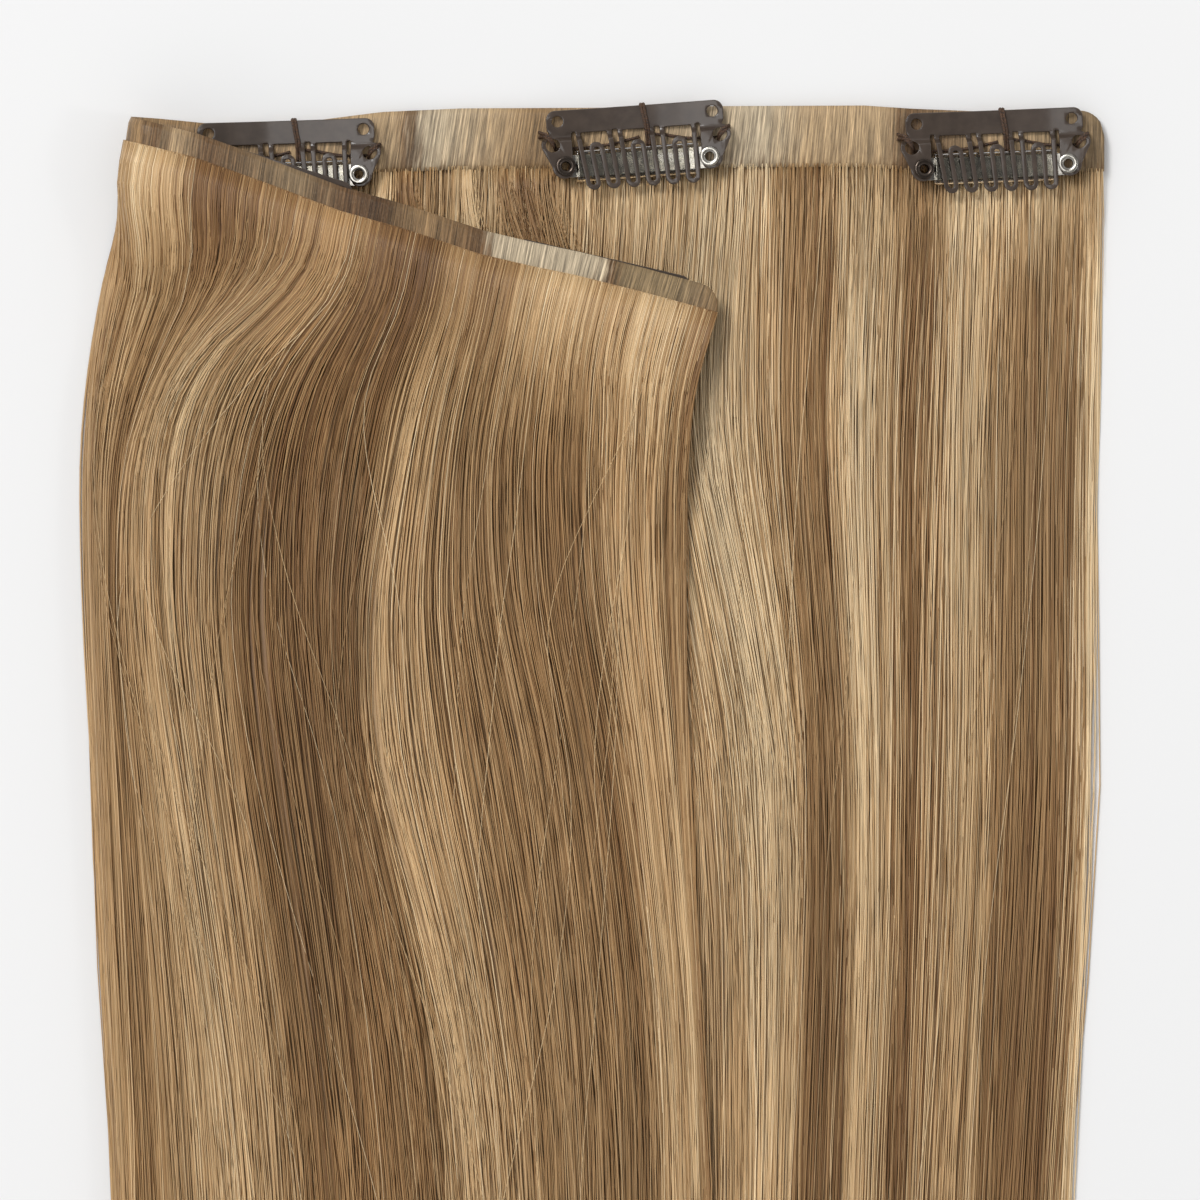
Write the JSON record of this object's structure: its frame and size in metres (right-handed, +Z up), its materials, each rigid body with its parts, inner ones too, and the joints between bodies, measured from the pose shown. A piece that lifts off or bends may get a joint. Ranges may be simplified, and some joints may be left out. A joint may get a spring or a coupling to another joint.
{
  "type": "clip in hair extension",
  "caption": "Seamless clip in hair weft lying folded over once, with comb snap clips sewn to a film band and long straight hair.",
  "frame": {"origin": "under the middle of the whole weft, on the surface that it lies on", "axes": "+Y from the hair's tips towards the band, +X along the band from the fold to its open end, +Z up from the surface"},
  "size_m": [0.1742, 0.409, 0.0121],
  "materials": {
    "film": "clear skin-like film with hair set in it, satin gloss",
    "hair": "straight hair in mixed blonde and light brown, soft sheen",
    "clip_paint": "taupe brown enamel on spring steel, semi gloss",
    "strap_steel": "bare spring steel strip",
    "silicone": "clear silicone tube, glossy",
    "eyelet": "polished tubular rivet, slightly worn"
  },
  "bodies": {
    "root": {"weft_band": "film", "hair_back_fall": "hair", "hair_front_fall": "hair", "clip_1_comb_plate": "clip_paint", "clip_1_strap": "strap_steel", "clip_1_sleeve": "silicone", "clip_1_rivet_left": "eyelet", "clip_1_rivet_right": "eyelet", "clip_2_comb_plate": "clip_paint", "clip_2_strap": "strap_steel", "clip_2_sleeve": "silicone", "clip_2_rivet_left": "eyelet", "clip_2_rivet_right": "eyelet", "clip_3_comb_plate": "clip_paint", "clip_3_strap": "strap_steel", "clip_3_sleeve": "silicone", "clip_3_rivet_left": "eyelet", "clip_3_rivet_right": "eyelet", "clip_4_comb_plate": "clip_paint", "clip_4_strap": "strap_steel", "clip_4_sleeve": "silicone", "clip_4_rivet_left": "eyelet", "clip_4_rivet_right": "eyelet", "clip_5_comb_plate": "clip_paint", "clip_5_strap": "strap_steel", "clip_5_sleeve": "silicone", "clip_5_rivet_left": "eyelet", "clip_5_rivet_right": "eyelet"}
  },
  "joints": []
}
